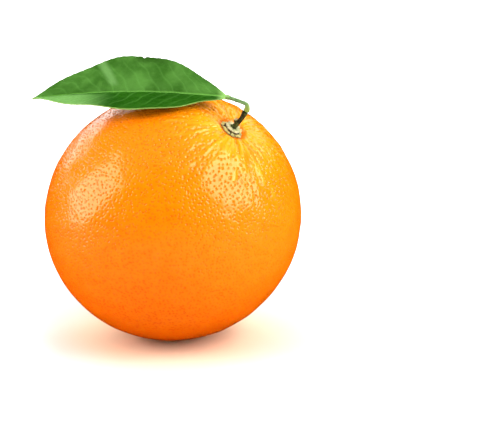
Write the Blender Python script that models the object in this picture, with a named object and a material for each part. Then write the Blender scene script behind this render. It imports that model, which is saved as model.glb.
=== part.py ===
"""A whole sweet orange at rest on its side, with the calyx, a cut twig and one leaf.

Metres, +Z up. The origin is the centre of the flat spot that the fruit rests on.
Run it with: blender --background --python part.py
"""

from math import cos, pi, radians, sin, sqrt, tau

import bmesh
import bpy
from mathutils import Matrix, Vector

GAP = 0.0003                    # clearance between pieces that seat on each other

# The fruit, in its own frame: +Z runs from its centre through the stem end.
FRUIT_WIDTH = 0.0817            # across its wide side, +X
FRUIT_DEPTH = 0.0767            # across its narrow side, +Y
FRUIT_HEIGHT = 0.0791           # pole to pole, before the hollows
FRUIT_TURN = radians(72)        # turn of the wide side about the stem axis
STEM_LEAN = radians(36)         # tilt of the stem axis from upright
STEM_HEADING = radians(-34)     # way that the stem axis leans, seen from above
REST_RADIUS = 0.0055            # radius of the flat spot

HOLLOW_RADIUS = 0.0130          # shallow hollow round the stem end
HOLLOW_DEPTH = 0.0016
SEAT_MARGIN = 0.0014            # the sunken seat reaches this far past the calyx
SEAT_DEPTH = 0.0007
FURROWS = 10                    # creases that run outwards from the calyx
FURROW_DEPTH = 0.0003
FURROW_REACH = 0.0170
SCAR_RADIUS = 0.0045            # dimple at the blossom end
SCAR_DEPTH = 0.0007
FRUIT_RINGS = 42
FRUIT_SIDES = 60
RING_CROWDING = 0.38            # how strongly the rings draw together at both poles

# The calyx: a five-lobed woody star that carries a round disc.
CALYX_RADIUS = 0.0039
CALYX_LOBES = 5
CALYX_LOBE_SHARE = 0.11         # how far the lobes stand out, as a share of the radius
CALYX_EDGE = 0.00035            # thickness at the lobes' tips
DISC_RADIUS = 0.0024
DISC_HEIGHT = 0.0014            # top of the disc above the seat
SEAM_DEPTH = 0.0003             # groove between star and disc
SOCKET_DEPTH = 0.0006
CALYX_SIDES = 40
CALYX_RINGS = (0.30, 0.60, 0.85, 1.0)  # rings of the underside, as shares of the lobes' reach
CALYX_SHOULDER = 0.82           # where the star's upper face starts to flatten, as a share of its reach
CALYX_CROWN = 0.00056           # thickness there
SEAM_FLOOR = 0.50               # these three: how far below the disc's top, as shares of its height
DISC_WAIST = 0.35
DISC_BEVEL = 0.12
DISC_FLAT = 0.85                # level part of the disc, as a share of its radius

# The twig, from the socket in the disc to the node where the leaf grew.
TWIG_LENGTH = 0.0066            # from the disc's top to the node
TWIG_RADIUS = 0.00070
FOOT_RADIUS = 0.00085
NODE_RADIUS = 0.00090
TWIG_OFFSET = 0.00048           # how far the node stands off the stem axis
TWIG_HEADING = radians(41)      # and on which side
TWIG_BOW = 0.0003               # how far the twig's middle stands off a straight line
STUB_PLACE = 0.21               # where the pruned side shoot leaves, as a share of the twig
STUB_RADIUS = 0.00060
STUB_LENGTH = 0.0019            # from the twig's middle
STUB_ANGLE = radians(36)        # between shoot and twig
STUB_HEADING = radians(-140)
STUB_RINGS = ((0, 1), (0.5, 1), (0.9, 1.08), (1, 0.9))  # place and radius, as shares
FOOT_SHARE = 0.25               # the foot's flare, as a share of the twig
NODE_SHARE = 0.30
FOOT_LIFT = 0.00015             # holds the low side of the slanted foot off the socket's floor
TWIG_STATIONS = 16
TWIG_SIDES = 14

# The leaf stalk: a short upright start on the end of the twig, a heel, then an arc down to the blade.
PETIOLE_LENGTH = 0.0098
PETIOLE_RADIUS = 0.00058
HEEL_RADIUS = 0.00092
HEEL_SLOPE = radians(75)        # slopes are to the plane square to the stem axis
HEEL_SHARE = 0.30               # of the stalk's length
PETIOLE_RISE = radians(-26)
PETIOLE_FALL = radians(-30)
PETIOLE_JOINT_RADIUS = 0.00078  # the swollen joint below the blade
JOINT_SHARE = 0.14
PETIOLE_HEADING = radians(170.5)
PETIOLE_STEPS = 28              # after the upright one
BLADE_SETBACK = 0.0006          # from the stalk's end to the blade, whose end is slanted to it

# The blade. Its pitch comes from LEAF_CLEARANCE.
LEAF_LENGTH = 0.0602
LEAF_WIDTH = 0.0270             # flattened out
LEAF_WIDEST = 0.46              # place of the widest stretch, as a share of the length
LEAF_FULLNESS = 0.98            # power of the outline: higher is slimmer towards both ends
LEAF_THICKNESS = 0.00045
LEAF_EDGE_THICKNESS = 0.00030
LEAF_BASE_RADIUS = 0.00060      # half width of the blade at its joint
LEAF_TIP_RADIUS = 0.00020
MIDRIB_RADIUS = 0.00055         # ridge below the blade
MIDRIB_TAPER = 0.7              # share of the ridge that is gone at the tip
LEAF_HEADING = radians(174)     # way that the blade points, seen from above
LEAF_ROLL = radians(25.5)       # turn about the blade's length
LEAF_FOLD = radians(16)         # rise of each half from the midrib
LEAF_BOW = 0.0026               # sideways curve of the midrib
LEAF_ARCH = 0.0005              # upward curve of the midrib
LEAF_CLEARANCE = 0.00095        # least height of the blade over the peel
LEAF_STATIONS = 30
LEAF_COLUMNS = 6                # on each side of the midrib

UP = Vector((0, 0, 1))
SEMI_AXES = Vector((FRUIT_WIDTH, FRUIT_DEPTH, FRUIT_HEIGHT)) / 2
STEM_TURN = Matrix.Rotation(STEM_HEADING, 3, "Z") @ Matrix.Rotation(STEM_LEAN, 3, "Y")
FRUIT_AXES = STEM_TURN @ Matrix.Rotation(FRUIT_TURN, 3, "Z")


def smooth_fade(share):
    """1 in the middle, 0 from share 1 outwards, level at both ends."""
    return (1 + cos(pi * min(share, 1))) / 2


def polar(radius, angle, height=0.0):
    return Vector((radius * cos(angle), radius * sin(angle), height))


# ---- Scene helpers ----


def clear_scene():
    for thing in list(bpy.data.objects):
        bpy.data.objects.remove(thing, do_unlink=True)


def material(name, colour, roughness):
    made = bpy.data.materials.new(name)
    made.use_nodes = True
    shader = made.node_tree.nodes["Principled BSDF"]
    shader.inputs["Base Color"].default_value = (*colour, 1)
    shader.inputs["Roughness"].default_value = roughness
    shader.inputs["Metallic"].default_value = 0
    return made


def add_object(name, bm, paint=None, parent=None):
    mesh = bpy.data.meshes.new(name)
    bm.to_mesh(mesh)
    bm.free()
    mesh.shade_smooth()
    mesh.set_sharp_from_angle(angle=radians(50))
    made = bpy.data.objects.new(name, mesh)
    bpy.context.scene.collection.objects.link(made)
    made.parent = parent
    if paint:
        mesh.materials.append(paint)
    return made


def loft(rings, first=None, last=None):
    """A closed bmesh through rings of points. Each end is closed by a point or by a flat face."""
    bm = bmesh.new()
    rows = [[bm.verts.new(point) for point in ring] for ring in rings]
    count = len(rows[0])
    for low, high in zip(rows, rows[1:]):
        for i in range(count):
            j = (i + 1) % count
            bm.faces.new((low[i], low[j], high[j], high[i]))
    for row, middle in ((rows[0], first), (rows[-1], last)):
        if middle is None:
            bm.faces.new(row)
            continue
        tip = bm.verts.new(middle)
        for i in range(count):
            bm.faces.new((row[i], row[(i + 1) % count], tip))
    bmesh.ops.recalc_face_normals(bm, faces=bm.faces)
    return bm


def tube(centres, radii, sides):
    """A closed tube of round sections, square to the line through their centres."""
    side = Vector((1, 0, 0))
    rings = []
    for i, (centre, radius) in enumerate(zip(centres, radii)):
        along = (centres[min(i + 1, len(centres) - 1)] - centres[max(i - 1, 0)]).normalized()
        side = (side - along * side.dot(along)).normalized()
        other = along.cross(side)
        rings.append(
            [centre + radius * (side * cos(a) + other * sin(a))
             for a in (tau * k / sides for k in range(sides))]
        )
    return loft(rings)


# ---- Fruit ----


def fruit_placement():
    """The fruit's centre, from the height at which its flat spot has its radius."""
    spread = FRUIT_AXES @ Matrix.Diagonal([half * half for half in SEMI_AXES]) @ FRUIT_AXES.transposed()
    low = spread @ UP
    full_height = sqrt(low.z)
    mean_radius = (SEMI_AXES.x * SEMI_AXES.y * SEMI_AXES.z) ** (1 / 3)
    return low * (full_height * sqrt(1 - (REST_RADIUS / mean_radius) ** 2) / low.z)


def stem_hollow(radius, angle):
    """How far the peel is sunk at the stem end, at a distance and an angle from the stem axis."""
    seat_radius = CALYX_RADIUS + SEAT_MARGIN
    sunk = HOLLOW_DEPTH * smooth_fade(radius / HOLLOW_RADIUS)
    sunk += SEAT_DEPTH * smooth_fade((radius / seat_radius) ** 2)
    reach = min(max((radius - CALYX_RADIUS) / (FURROW_REACH - CALYX_RADIUS), 0), 1)
    return sunk + FURROW_DEPTH * cos(FURROWS * angle) * sin(pi * sqrt(reach)) ** 2


def peel_height(x, y):
    """The peel's height at the stem end, over a point given in the stem's frame."""
    flat = Matrix.Rotation(-FRUIT_TURN, 3, "Z") @ Vector((x, y, 0))
    left = 1 - (flat.x / SEMI_AXES.x) ** 2 - (flat.y / SEMI_AXES.y) ** 2
    angle = Vector((1, 0)).angle_signed(flat.xy, 0)
    return SEMI_AXES.z * sqrt(left) - stem_hollow(flat.length, angle)


def fruit_point(polar_angle, angle):
    point = Vector((
        SEMI_AXES.x * sin(polar_angle) * cos(angle),
        SEMI_AXES.y * sin(polar_angle) * sin(angle),
        SEMI_AXES.z * cos(polar_angle),
    ))
    radius = point.xy.length
    if point.z > 0:
        point.z -= stem_hollow(radius, Vector((1, 0)).angle_signed(point.xy, 0))
    else:
        point.z += SCAR_DEPTH * smooth_fade(radius / SCAR_RADIUS)
    return point


def build_fruit(axis):
    """One solid, with rings set closer towards both poles, cut flat where it rests."""
    steps = [k / FRUIT_RINGS for k in range(1, FRUIT_RINGS)]
    polar_angles = [pi * step - RING_CROWDING * sin(tau * step) for step in steps]
    angles = [tau * k / FRUIT_SIDES for k in range(FRUIT_SIDES)]
    bm = loft(
        [[fruit_point(p, a) for a in angles] for p in polar_angles],
        Vector((0, 0, SEMI_AXES.z - stem_hollow(0, 0))),
        Vector((0, 0, SCAR_DEPTH - SEMI_AXES.z)),
    )
    to_fruit = FRUIT_AXES.transposed()
    cut = bmesh.ops.bisect_plane(
        bm,
        geom=bm.verts[:] + bm.edges[:] + bm.faces[:],
        plane_co=to_fruit @ -fruit_placement(),
        plane_no=to_fruit @ -UP,
        clear_outer=True,
    )
    rim = [item for item in cut["geom_cut"] if isinstance(item, bmesh.types.BMEdge)]
    bmesh.ops.contextual_create(bm, geom=rim)
    bmesh.ops.recalc_face_normals(bm, faces=bm.faces)
    fruit = add_object("fruit", bm, material("peel", (0.95, 0.36, 0.02), 0.38), axis)
    fruit.rotation_euler.z = FRUIT_TURN


# ---- Calyx ----


def disc_top():
    return peel_height(0, 0) + GAP + DISC_HEIGHT


def calyx_reach(angle):
    return CALYX_RADIUS * (1 + CALYX_LOBE_SHARE * cos(CALYX_LOBES * angle))


def build_calyx(axis):
    """Its underside follows the peel, and its disc has a socket for the twig's foot."""
    angles = [tau * k / CALYX_SIDES for k in range(CALYX_SIDES)]
    top = disc_top()
    neck = DISC_RADIUS - SEAM_DEPTH

    def over_peel(share, lift):
        points = [polar(share * calyx_reach(a), a) for a in angles]
        return [p + UP * (peel_height(p.x, p.y) + GAP + lift) for p in points]

    def level(radius, height):
        return [polar(radius, a, height) for a in angles]

    socket = FOOT_RADIUS + GAP
    rings = [over_peel(share, 0) for share in CALYX_RINGS]
    rings += [over_peel(1, CALYX_EDGE), over_peel(CALYX_SHOULDER, CALYX_CROWN)]
    rings += [level(neck, top - SEAM_FLOOR * DISC_HEIGHT)]
    rings += [level(DISC_RADIUS, top - share * DISC_HEIGHT) for share in (DISC_WAIST, DISC_BEVEL)]
    rings += [level(DISC_FLAT * DISC_RADIUS, top)]
    rings += [level(socket, top), level(socket, top - SOCKET_DEPTH)]
    bm = loft(rings, UP * (peel_height(0, 0) + GAP), UP * (top - SOCKET_DEPTH))
    add_object("calyx", bm, material("calyx_wood", (0.72, 0.66, 0.36), 0.7), axis)


# ---- Twig and petiole ----


def twig_end():
    return polar(TWIG_OFFSET, TWIG_HEADING, disc_top() + TWIG_LENGTH)


def twig_centre(share):
    """A point on the twig's middle line, from the foot at 0 to the node at 1."""
    foot = UP * (disc_top() - SOCKET_DEPTH + GAP + FOOT_LIFT)
    return foot.lerp(twig_end(), share) + polar(TWIG_BOW * sin(pi * share), TWIG_HEADING)


def twig_radius(share):
    foot = (FOOT_RADIUS - TWIG_RADIUS) * smooth_fade(share / FOOT_SHARE)
    swelling = (NODE_RADIUS - TWIG_RADIUS) * smooth_fade((1 - share) / NODE_SHARE)
    return TWIG_RADIUS + foot + swelling


def build_stub(axis):
    """The pruned side shoot, joined to the twig by a Boolean."""
    start = twig_centre(STUB_PLACE)
    lean = Matrix.Rotation(STUB_HEADING, 3, "Z") @ Matrix.Rotation(STUB_ANGLE, 3, "Y")
    along = lean @ UP
    centres = [start + along * STUB_LENGTH * place for place, _ in STUB_RINGS]
    radii = [STUB_RADIUS * wide for _, wide in STUB_RINGS]
    stub = add_object("twig_stub", tube(centres, radii, TWIG_SIDES), parent=axis)
    stub.hide_render = True
    stub.display_type = "WIRE"
    return stub


def build_twig(axis):
    shares = [k / TWIG_STATIONS for k in range(TWIG_STATIONS + 1)]
    centres = [twig_centre(share) for share in shares]
    bark = material("bark", (0.13, 0.16, 0.03), 0.55)
    bm = tube(centres, [twig_radius(share) for share in shares], TWIG_SIDES)
    twig = add_object("twig", bm, bark, axis)
    join = twig.modifiers.new("side_shoot", "BOOLEAN")
    join.operation = "UNION"
    join.object = build_stub(axis)


def petiole_line():
    """Points along the stalk's middle in the stem's frame, from the twig's end to the blade."""
    step = PETIOLE_LENGTH / (PETIOLE_STEPS + 1)
    out = polar(1, PETIOLE_HEADING)
    start = twig_end() + UP * GAP
    line = [start, start + UP * step]
    for k in range(PETIOLE_STEPS):
        share = (k + 0.5) / PETIOLE_STEPS
        slope = PETIOLE_RISE + (PETIOLE_FALL - PETIOLE_RISE) * share
        slope += (HEEL_SLOPE - PETIOLE_RISE) * smooth_fade(share / HEEL_SHARE)
        way = out * cos(slope) + UP * sin(slope)
        line.append(line[-1] + way * step)
    return line


def petiole_radius(share):
    heel = (HEEL_RADIUS - PETIOLE_RADIUS) * smooth_fade(share / HEEL_SHARE)
    swelling = (PETIOLE_JOINT_RADIUS - PETIOLE_RADIUS) * smooth_fade((1 - share) / JOINT_SHARE)
    return PETIOLE_RADIUS + heel + swelling


def build_petiole(axis):
    line = petiole_line()
    radii = [petiole_radius(k / (len(line) - 1)) for k in range(len(line))]
    paint = material("petiole_green", (0.16, 0.36, 0.06), 0.45)
    add_object("petiole", tube(line, radii, TWIG_SIDES), paint, axis)


# ---- Leaf blade, in its own frame: +X from the joint to the tip, +Z out of the upper face ----


def half_width(along):
    """Half the blade's width at a share of its length."""
    low = LEAF_FULLNESS
    high = LEAF_FULLNESS * (1 - LEAF_WIDEST) / LEAF_WIDEST
    outline = (along / LEAF_WIDEST) ** low * ((1 - along) / (1 - LEAF_WIDEST)) ** high
    end_radius = LEAF_BASE_RADIUS + (LEAF_TIP_RADIUS - LEAF_BASE_RADIUS) * along
    return end_radius + (LEAF_WIDTH / 2 - end_radius) * outline


def blade_point(along, across):
    """A point on the upper face: across runs from -1 at the right edge to 1 at the left one."""
    out = across * half_width(along)
    hump = 4 * along * (1 - along)
    return Vector((
        LEAF_LENGTH * along,
        out * cos(LEAF_FOLD) - LEAF_BOW * hump,
        abs(out) * sin(LEAF_FOLD) + LEAF_ARCH * hump,
    ))


def blade_thickness(along, across):
    rib = (MIDRIB_RADIUS if across == 0 else 0) * (1 - MIDRIB_TAPER * along)
    return LEAF_THICKNESS + (LEAF_EDGE_THICKNESS - LEAF_THICKNESS) * abs(across) + rib


def peel_radius(way):
    """The fruit's radius in a direction given in world axes, before the hollows."""
    local = FRUIT_AXES.transposed() @ way
    return 1 / sqrt(sum((local[i] / SEMI_AXES[i]) ** 2 for i in range(3)))


def blade_turn(pitch):
    heading = Matrix.Rotation(LEAF_HEADING, 3, "Z") @ Matrix.Rotation(-pitch, 3, "Y")
    return heading @ Matrix.Rotation(-LEAF_ROLL, 3, "X")


def blade_clearance(start, pitch, underside):
    """Least height over the peel, with the start measured from the fruit's centre."""
    turn = blade_turn(pitch)
    points = [start + turn @ point for point in underside]
    return min(point.length - peel_radius(point.normalized()) for point in points)


def resting_pitch(start, underside):
    """The pitch at which the blade's nearest point is LEAF_CLEARANCE over the peel."""
    low, high = radians(-60), radians(60)
    for _ in range(30):
        middle = (low + high) / 2
        if blade_clearance(start, middle, underside) < LEAF_CLEARANCE:
            low = middle
        else:
            high = middle
    return high


def build_leaf_blade():
    alongs = [k / LEAF_STATIONS for k in range(LEAF_STATIONS + 1)]
    acrosses = [k / LEAF_COLUMNS for k in range(-LEAF_COLUMNS, LEAF_COLUMNS + 1)]
    sections = []
    for along in alongs:
        upper = [blade_point(along, across) for across in acrosses]
        lower = [
            point - UP * blade_thickness(along, across)
            for point, across in zip(upper, acrosses)
        ]
        sections.append(upper + lower[::-1])
    line = petiole_line()
    joint = STEM_TURN @ (line[-1] + (line[-1] - line[-2]).normalized() * BLADE_SETBACK)
    underside = [point for section in sections for point in section[len(acrosses):]]
    pitch = resting_pitch(joint, underside)
    paint = material("leaf_green", (0.06, 0.26, 0.03), 0.35)
    blade = add_object("leaf_blade", loft(sections), paint)
    blade.matrix_world = Matrix.Translation(fruit_placement() + joint) @ blade_turn(pitch).to_4x4()


def build_stem_axis():
    """An empty at the fruit's centre whose +Z runs through the stem end."""
    axis = bpy.data.objects.new("stem_axis", None)
    bpy.context.scene.collection.objects.link(axis)
    axis.matrix_world = Matrix.Translation(fruit_placement()) @ STEM_TURN.to_4x4()
    return axis


def main():
    clear_scene()
    axis = build_stem_axis()
    build_fruit(axis)
    build_calyx(axis)
    build_twig(axis)
    build_petiole(axis)
    build_leaf_blade()


main()
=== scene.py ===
from math import cos, pi, radians, sin, sqrt, tau

import bmesh
import bpy
import numpy as np
from mathutils import Euler, Matrix, Vector, kdtree


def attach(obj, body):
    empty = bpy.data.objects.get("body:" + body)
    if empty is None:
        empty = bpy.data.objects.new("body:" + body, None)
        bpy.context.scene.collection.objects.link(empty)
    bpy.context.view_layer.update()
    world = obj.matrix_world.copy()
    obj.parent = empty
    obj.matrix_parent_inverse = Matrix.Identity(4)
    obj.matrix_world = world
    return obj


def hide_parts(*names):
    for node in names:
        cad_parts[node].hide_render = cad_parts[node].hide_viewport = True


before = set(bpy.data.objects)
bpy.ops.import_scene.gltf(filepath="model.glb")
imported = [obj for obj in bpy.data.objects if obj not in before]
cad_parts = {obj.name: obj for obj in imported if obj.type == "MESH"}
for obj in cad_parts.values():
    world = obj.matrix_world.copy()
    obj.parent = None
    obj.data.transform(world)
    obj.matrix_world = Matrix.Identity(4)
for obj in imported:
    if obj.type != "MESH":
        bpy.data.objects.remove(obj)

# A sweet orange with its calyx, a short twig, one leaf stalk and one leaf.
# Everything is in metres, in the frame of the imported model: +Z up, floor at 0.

# ---- Driving dimensions, the same as the solids' ----

GAP = 0.0003

FRUIT_WIDTH = 0.0817
FRUIT_DEPTH = 0.0767
FRUIT_HEIGHT = 0.0791
FRUIT_TURN = radians(72)
STEM_LEAN = radians(36)
STEM_HEADING = radians(-34)
REST_RADIUS = 0.0055
HOLLOW_RADIUS = 0.0130
HOLLOW_DEPTH = 0.0016
SEAT_RADIUS = 0.0053
SEAT_DEPTH = 0.0007
SCAR_RADIUS = 0.0045
SCAR_DEPTH = 0.0007

CALYX_RADIUS = 0.0039
DISC_RADIUS = 0.0024
DISC_HEIGHT = 0.0014

TWIG_LENGTH = 0.0066
TWIG_RADIUS = 0.00070
FOOT_RADIUS = 0.00085
NODE_RADIUS = 0.00090
TWIG_OFFSET = 0.00048
TWIG_HEADING = radians(41)
TWIG_BOW = 0.0003
STUB_PLACE = 0.21
STUB_RADIUS = 0.00060
STUB_LENGTH = 0.0019
STUB_ANGLE = radians(36)
STUB_HEADING = radians(-140)

PETIOLE_LENGTH = 0.0098
PETIOLE_RADIUS = 0.00058
HEEL_RADIUS = 0.00092
HEEL_SLOPE = radians(75)
HEEL_SHARE = 0.30
PETIOLE_RISE = radians(-26)
PETIOLE_FALL = radians(-30)
PETIOLE_JOINT_RADIUS = 0.00078
JOINT_SHARE = 0.14
PETIOLE_HEADING = radians(170.5)
PETIOLE_STEPS = 28
BLADE_SETBACK = 0.0006

LEAF_LENGTH = 0.0602
LEAF_WIDTH = 0.0270
LEAF_THICKNESS = 0.00045
LEAF_EDGE_THICKNESS = 0.00030
LEAF_BASE_RADIUS = 0.00060
LEAF_TIP_RADIUS = 0.00020
MIDRIB_RADIUS = 0.00055
LEAF_HEADING = radians(174)
LEAF_PITCH = radians(-1.6)
LEAF_ROLL = radians(25.5)
LEAF_FOLD = radians(16)
LEAF_BOW = 0.0026
LEAF_ARCH = 0.0005

# ---- Surface detail ----

FRUIT_GRID = 320                # squares along a cube side; six sides make the skin
PIT_COUNT = 13500
PIT_RADIUS = (0.00024, 0.00042)
PIT_DEPTH = (0.00014, 0.00023)
PIT_JITTER = 0.27               # as a share of their mean spacing
STEM_PITS = 0.042               # nearer the stem than this, pits are wider and farther apart
STEM_THINNING = 0.70            # the share of the pits that are missing at the stem
STEM_WIDENING = 0.45            # how much wider they are there, and how much longer than wide
STEM_DEEPENING = 0.80
LUMP_HEIGHT = 0.00006
LUMP_LENGTHS = (0.0095, 0.0042)
SMALL_LUMPS = 0.15              # their height, as a share of the large ones'
FURROW_DEPTH = 0.00014
FURROW_RISE = 0.0015            # from the calyx's edge to the furrows' full depth
FURROW_REACH = 0.0135           # from the calyx's edge to the furrows' end
STREAK_DEPTH = 0.00010
STREAK_START = 0.006            # the streaks' distances from the stem axis
STREAK_MIDDLE = 0.008
STREAK_FULL = 0.012
STREAK_REACH = 0.030            # from the middle to the end

# ---- Camera and light ----

CAMERA_ELEVATION = radians(15)
CAMERA_DISTANCE = 0.75
CAMERA_LENS = 172.8
AIM_RIGHT = 0.02394
AIM_UP = -0.00169
ROOM_LIGHT = 0.30               # the world's strength on the camera's side
PAPER_LIGHT = 0.9               # and behind the object
FLOOR_ALBEDO = 0.70
# The floor's colour under the fruit: painted orange bounce light
FLOOR_PAINTED_BOUNCE = (0.95, 0.83, 0.62)
FLOOR_RADIUS = 0.60

UP = Vector((0, 0, 1))
SEMI_AXES = Vector((FRUIT_WIDTH, FRUIT_DEPTH, FRUIT_HEIGHT)) / 2
STEM_TURN = Matrix.Rotation(STEM_HEADING, 3, "Z") @ Matrix.Rotation(STEM_LEAN, 3, "Y")
FRUIT_AXES = STEM_TURN @ Matrix.Rotation(FRUIT_TURN, 3, "Z")


def fruit_placement():
    """The fruit's centre, from the height at which its flat spot has its radius."""
    spread = FRUIT_AXES @ Matrix.Diagonal([half * half for half in SEMI_AXES]) @ FRUIT_AXES.transposed()
    low = spread @ UP
    full_height = sqrt(low.z)
    mean_radius = (SEMI_AXES.x * SEMI_AXES.y * SEMI_AXES.z) ** (1 / 3)
    return low * (full_height * sqrt(1 - (REST_RADIUS / mean_radius) ** 2) / low.z)


FRUIT_CENTRE = fruit_placement()


# ---- Numbers on arrays ----


def fade(share):
    """1 in the middle, 0 from share 1 outwards, level at both ends."""
    return (1 + np.cos(pi * np.minimum(np.abs(share), 1))) / 2


def rise(value, low, high):
    """0 below low, 1 above high, smooth between."""
    share = np.clip((value - low) / (high - low), 0, 1)
    return share * share * (3 - 2 * share)


def ripple(points, wavelength, seed, waves=28):
    """A smooth random field of about unit size, made of waves in random directions."""
    random = np.random.default_rng(seed)
    ways = random.normal(size=(waves, 3))
    ways /= np.linalg.norm(ways, axis=1)[:, None]
    lengths = wavelength * random.uniform(0.75, 1.4, waves)
    phases = random.uniform(0, tau, waves)
    total = np.zeros(len(points))
    for way, length, phase in zip(ways, lengths, phases):
        total += np.cos(points @ way * (tau / length) + phase)
    return total * sqrt(2 / waves)


def to_world(points):
    """Stem-frame points, with the fruit's centre at 0 and +Z along the stem, in the row frame."""
    turn = np.array(STEM_TURN)
    return np.asarray(points) @ turn.T + np.array(FRUIT_CENTRE)


# ---- Meshes ----


def add_mesh(name, points, faces, uvs, attributes):
    mesh = bpy.data.meshes.new(name)
    mesh.from_pydata(points, [], faces)
    layer = mesh.uv_layers.new(name="OFBake")
    layer.data.foreach_set("uv", np.asarray(uvs, np.float32).ravel())
    for key, values in attributes.items():
        made = mesh.attributes.new(key, "FLOAT", "POINT")
        made.data.foreach_set("value", np.asarray(values, np.float32).ravel())
    mesh.shade_smooth()
    made = bpy.data.objects.new(name, mesh)
    bpy.context.scene.collection.objects.link(made)
    return made


def skin(name, rings, attributes):
    """A closed mesh over rings of points, with a fan over each end. attributes give a value a point."""
    rows, sides = rings.shape[:2]
    index = np.arange(rows * sides).reshape(rows, sides)
    following = np.roll(index, -1, axis=1)
    quads = np.stack([index[:-1], following[:-1], following[1:], index[1:]], -1).reshape(-1, 4)
    across = np.arange(sides) / sides
    step = 1 / sides
    low, high = np.meshgrid(np.linspace(0.03, 0.97, rows)[:-1], across, indexing="ij")
    top = low + 0.94 / (rows - 1)
    uvs = np.stack([high, low, high + step, low, high + step, top, high, top], -1).reshape(-1, 4, 2)
    first, last = rows * sides, rows * sides + 1
    faces = quads.tolist()
    corners = [uvs.reshape(-1, 2)]
    for ring, tip, edge, end in ((index[0][::-1], first, 0.03, 0.0), (index[-1], last, 0.97, 1.0)):
        for k in range(sides):
            faces.append([int(ring[k]), int(ring[(k + 1) % sides]), tip])
            u = (sides - 1 - k) / sides if tip == first else k / sides
            ahead = u - step if tip == first else u + step
            corners.append(np.array([(u, edge), (ahead, edge), ((u + ahead) / 2, end)]))
    points = np.concatenate([rings.reshape(-1, 3), [rings[0].mean(0)], [rings[-1].mean(0)]])
    values = {
        key: np.concatenate([given.ravel(), [given[0].mean()], [given[-1].mean()]])
        for key, given in attributes.items()
    }
    return add_mesh(name, points.tolist(), faces, np.concatenate(corners), values)


def tube_frames(centres, side=(1, 0, 0)):
    """Two directions square to a line of points, turning as little as they can."""
    along = np.gradient(centres, axis=0)
    along /= np.linalg.norm(along, axis=1)[:, None]
    side = np.array(side, float)
    sides = []
    for way in along:
        side = side - way * (side @ way)
        side = side / np.linalg.norm(side)
        sides.append(side)
    sides = np.array(sides)
    return sides, np.cross(along, sides)


def tube(centres, radii, angles, side=(1, 0, 0)):
    """Rings round a line. radii has one row a centre and one column an angle."""
    first, second = tube_frames(centres, side)
    ring = np.cos(angles)[None, :, None] * first[:, None]
    ring = ring + np.sin(angles)[None, :, None] * second[:, None]
    return centres[:, None] + ring * radii[..., None]


# ---- Fruit ----


def cube_sphere(count):
    """Unit directions and quads of a cube blown up to a ball, with each corner's place on a sheet."""
    ticks = np.tan(np.linspace(-1, 1, count + 1) * pi / 4)
    u, v = np.meshgrid(ticks, ticks, indexing="ij")
    index = np.arange((count + 1) ** 2).reshape(count + 1, count + 1)
    quads = np.stack([index[:-1, :-1], index[1:, :-1], index[1:, 1:], index[:-1, 1:]], -1).reshape(-1, 4)
    share_u, share_v = np.meshgrid(*[np.linspace(0.01, 0.99, count + 1)] * 2, indexing="ij")
    ways, faces, sheet = [], [], []
    for side in range(6):
        axis, sign = side // 2, 1 - 2 * (side % 2)
        point = np.empty((count + 1, count + 1, 3))
        point[..., axis] = sign
        point[..., (axis + 1) % 3] = u
        point[..., (axis + 2) % 3] = v * sign
        ways.append(point.reshape(-1, 3))
        faces.append(quads + side * index.size)
        place = np.stack([(side % 3 + share_u) / 3, (side // 3 + share_v) / 2], -1).reshape(-1, 2)
        sheet.append(place[quads])
    ways = np.concatenate(ways)
    ways /= np.linalg.norm(ways, axis=1)[:, None]
    _, first, merged = np.unique(np.round(ways, 7), axis=0, return_index=True, return_inverse=True)
    return ways[first], merged.reshape(-1)[np.concatenate(faces)], np.concatenate(sheet)


def stem_streaks(radius, angle, seed, across, along):
    """Uneven ridges of unit size that run out from the stem: across in radians, along in metres."""
    place = np.stack([np.cos(angle) / across, np.sin(angle) / across, radius / along], -1)
    return ripple(place.reshape(-1, 3), 1.0, seed).reshape(np.shape(radius))


def furrows(radius, angle):
    """Creases and ridges round the calyx, and finer ones farther out."""
    near = rise(radius, CALYX_RADIUS, CALYX_RADIUS + FURROW_RISE)
    near = near * fade((radius - CALYX_RADIUS) / FURROW_REACH)
    far = rise(radius, STREAK_START, STREAK_FULL) * fade((radius - STREAK_MIDDLE) / STREAK_REACH)
    broad = stem_streaks(radius, angle, seed=5, across=0.42, along=0.020)
    narrow = stem_streaks(radius, angle, seed=6, across=0.17, along=0.009)
    fine = stem_streaks(radius, angle, seed=8, across=0.105, along=0.0075)
    return FURROW_DEPTH * (near * (broad + 0.7 * narrow)) + STREAK_DEPTH * far * fine


def stem_hollow(radius, angle):
    """How far the peel is sunk at the stem end, at a distance and an angle from the stem axis."""
    sunk = HOLLOW_DEPTH * fade(radius / HOLLOW_RADIUS)
    sunk = sunk + SEAT_DEPTH * fade((radius / SEAT_RADIUS) ** 2)
    return sunk + furrows(radius, angle)


def fruit_surface(ways):
    """Points on the peel in the fruit's own axes, for unit directions."""
    points = ways * np.array(SEMI_AXES)
    radius = np.hypot(points[:, 0], points[:, 1])
    angle = np.arctan2(points[:, 1], points[:, 0])
    top = points[:, 2] > 0
    points[:, 2] -= np.where(top, stem_hollow(radius, angle), 0)
    points[:, 2] += np.where(top, 0, SCAR_DEPTH * fade(radius / SCAR_RADIUS))
    return points


def outward(ways):
    """Unit normals of the plain ellipsoid, for unit directions."""
    normals = ways / np.array(SEMI_AXES)
    return normals / np.linalg.norm(normals, axis=1)[:, None]


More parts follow.
